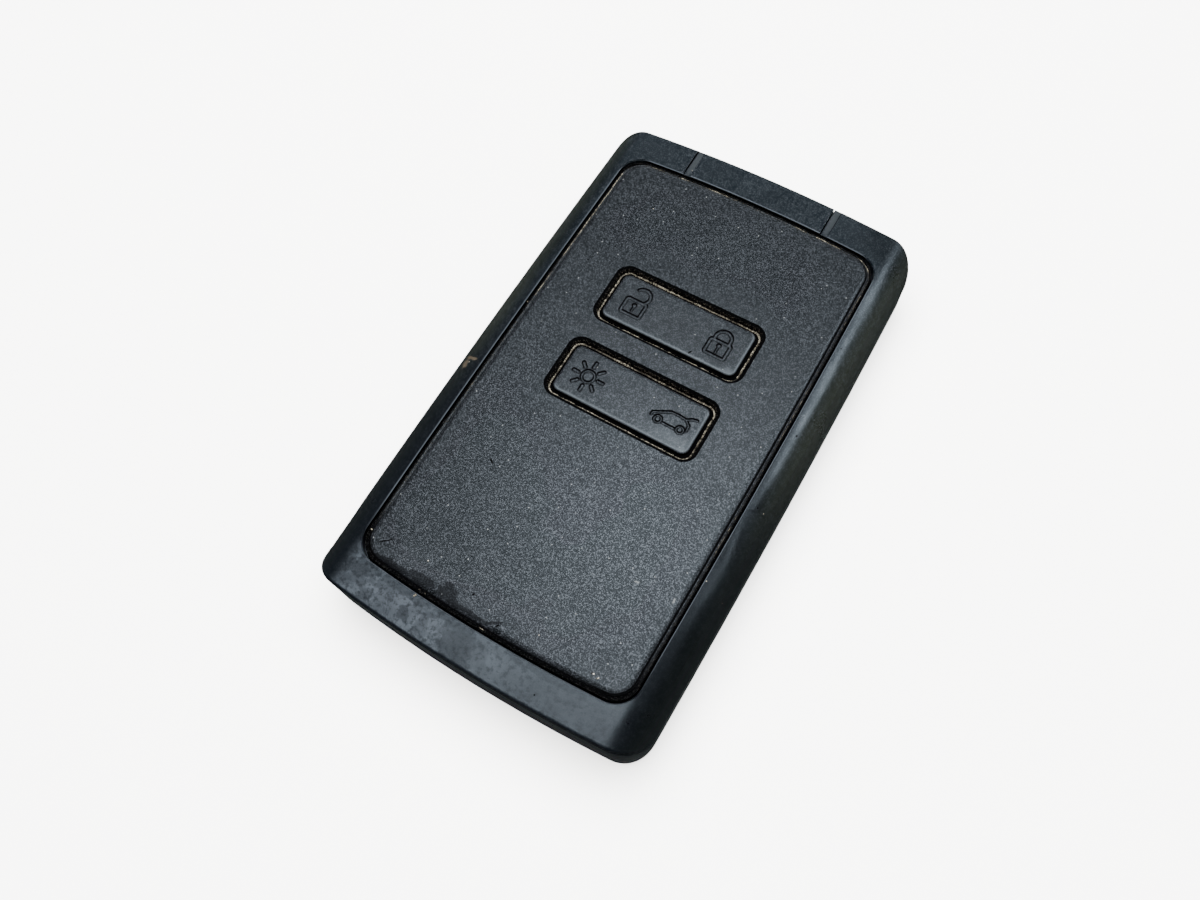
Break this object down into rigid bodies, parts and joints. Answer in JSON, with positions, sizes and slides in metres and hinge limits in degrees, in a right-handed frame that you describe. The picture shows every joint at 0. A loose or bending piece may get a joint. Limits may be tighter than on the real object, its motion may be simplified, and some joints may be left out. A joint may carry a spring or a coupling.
{
  "type": "car key fob",
  "caption": "Card-shaped hands-free car key with rocking bars, a pull-out emergency key and a rear cover that unclips over a coin cell.",
  "frame": {"origin": "centre of the bounding box, on the flat back that the card rests on", "axes": "+X to the right seen from the front with the key head away from you, +Y along the card towards the emergency key's head, +Z out of the front face"},
  "size_m": [0.046, 0.077, 0.0106],
  "materials": {
    "frame_plastic": "satin moulded plastic, charcoal with a blue tint",
    "rear_plastic": "satin moulded plastic, charcoal",
    "soft_touch_panel": "fine-grained soft-touch coating, charcoal",
    "soft_touch_bar": "fine-grained soft-touch coating, charcoal",
    "silicone": "moulded silicone",
    "board_laminate": "green solder mask on glass-fibre laminate",
    "switch_metal": "pressed tin-plated cover",
    "plunger_plastic": "natural nylon",
    "chip_resin": "moulded epoxy",
    "nickel_can": "nickel-plated can",
    "ceramic": "ceramic chip parts",
    "ferrite": "sintered ferrite",
    "copper_wire": "enamelled copper winding",
    "tray_plastic": "moulded plastic",
    "contact_steel": "nickel-plated spring steel",
    "cell_steel": "stainless steel",
    "gasket_plastic": "polypropylene seal",
    "spring_steel": "spring steel leaf",
    "button_plastic": "fine-grained moulded plastic",
    "blade_steel": "nickel-silver key blank, brushed"
  },
  "bodies": {
    "card": {"front_frame": "frame_plastic", "front_panel": "soft_touch_panel", "keypad_mat": "silicone", "circuit_board": "board_laminate", "switch_bodies": "switch_metal", "microcontroller": "chip_resin", "radio_chip": "chip_resin", "crystal": "nickel_can", "board_passives": "ceramic", "antenna_core": "ferrite", "antenna_coil": "copper_wire", "chassis": "tray_plastic", "contact_positive": "contact_steel", "contact_negative": "contact_steel", "cell_can": "cell_steel", "cell_gasket": "gasket_plastic", "cell_cap": "cell_steel", "catch_spring": "spring_steel"},
    "lock_rocker": {"lock_rocker": "soft_touch_bar"},
    "light_rocker": {"light_rocker": "soft_touch_bar"},
    "unlock_plunger": {"unlock_plunger": "plunger_plastic"},
    "lock_plunger": {"lock_plunger": "plunger_plastic"},
    "light_plunger": {"light_plunger": "plunger_plastic"},
    "tailgate_plunger": {"tailgate_plunger": "plunger_plastic"},
    "emergency_key": {"key_head": "frame_plastic", "key_blade": "blade_steel"},
    "rear_cover": {"rear_cover": "rear_plastic", "cover_clips": "rear_plastic"},
    "release_button": {"release_button": "button_plastic"}
  },
  "joints": [
    {"name": "lock_rocker_hinge", "type": "hinge", "parent": "card", "child": "lock_rocker", "pos_m": [0, 0.0125, 0.0084], "axis": [0, 1, 0], "range_deg": [-2, 2], "stiffness_Nm_per_rad": 0.3, "deforming": ["keypad_mat"]},
    {"name": "light_rocker_hinge", "type": "hinge", "parent": "card", "child": "light_rocker", "pos_m": [0, 0.0003, 0.0084], "axis": [0, 1, 0], "range_deg": [-2, 2], "stiffness_Nm_per_rad": 0.3, "deforming": ["keypad_mat"]},
    {"name": "unlock_press", "type": "slide", "parent": "card", "child": "unlock_plunger", "axis": [0, 0, -1], "range_m": [0, 0.0002], "stiffness_N_per_m": 300, "springref_m": -0.001},
    {"name": "lock_press", "type": "slide", "parent": "card", "child": "lock_plunger", "axis": [0, 0, -1], "range_m": [0, 0.0002], "stiffness_N_per_m": 300, "springref_m": -0.001},
    {"name": "light_press", "type": "slide", "parent": "card", "child": "light_plunger", "axis": [0, 0, -1], "range_m": [0, 0.0002], "stiffness_N_per_m": 300, "springref_m": -0.001},
    {"name": "tailgate_press", "type": "slide", "parent": "card", "child": "tailgate_plunger", "axis": [0, 0, -1], "range_m": [0, 0.0002], "stiffness_N_per_m": 300, "springref_m": -0.001},
    {"name": "key_slide", "type": "slide", "parent": "card", "child": "emergency_key", "axis": [0, 1, 0], "range_m": [0, 0.047], "deforming": ["catch_spring"]},
    {"name": "cover_slide", "type": "slide", "parent": "card", "child": "rear_cover", "axis": [0, 0, -1], "range_m": [0, 0.012], "deforming": ["cover_clips"]},
    {"name": "release_press", "type": "slide", "parent": "rear_cover", "child": "release_button", "axis": [0, 0, 1], "range_m": [0, 0.0007], "stiffness_N_per_m": 400, "springref_m": -0.0005, "deforming": ["catch_spring"]}
  ]
}
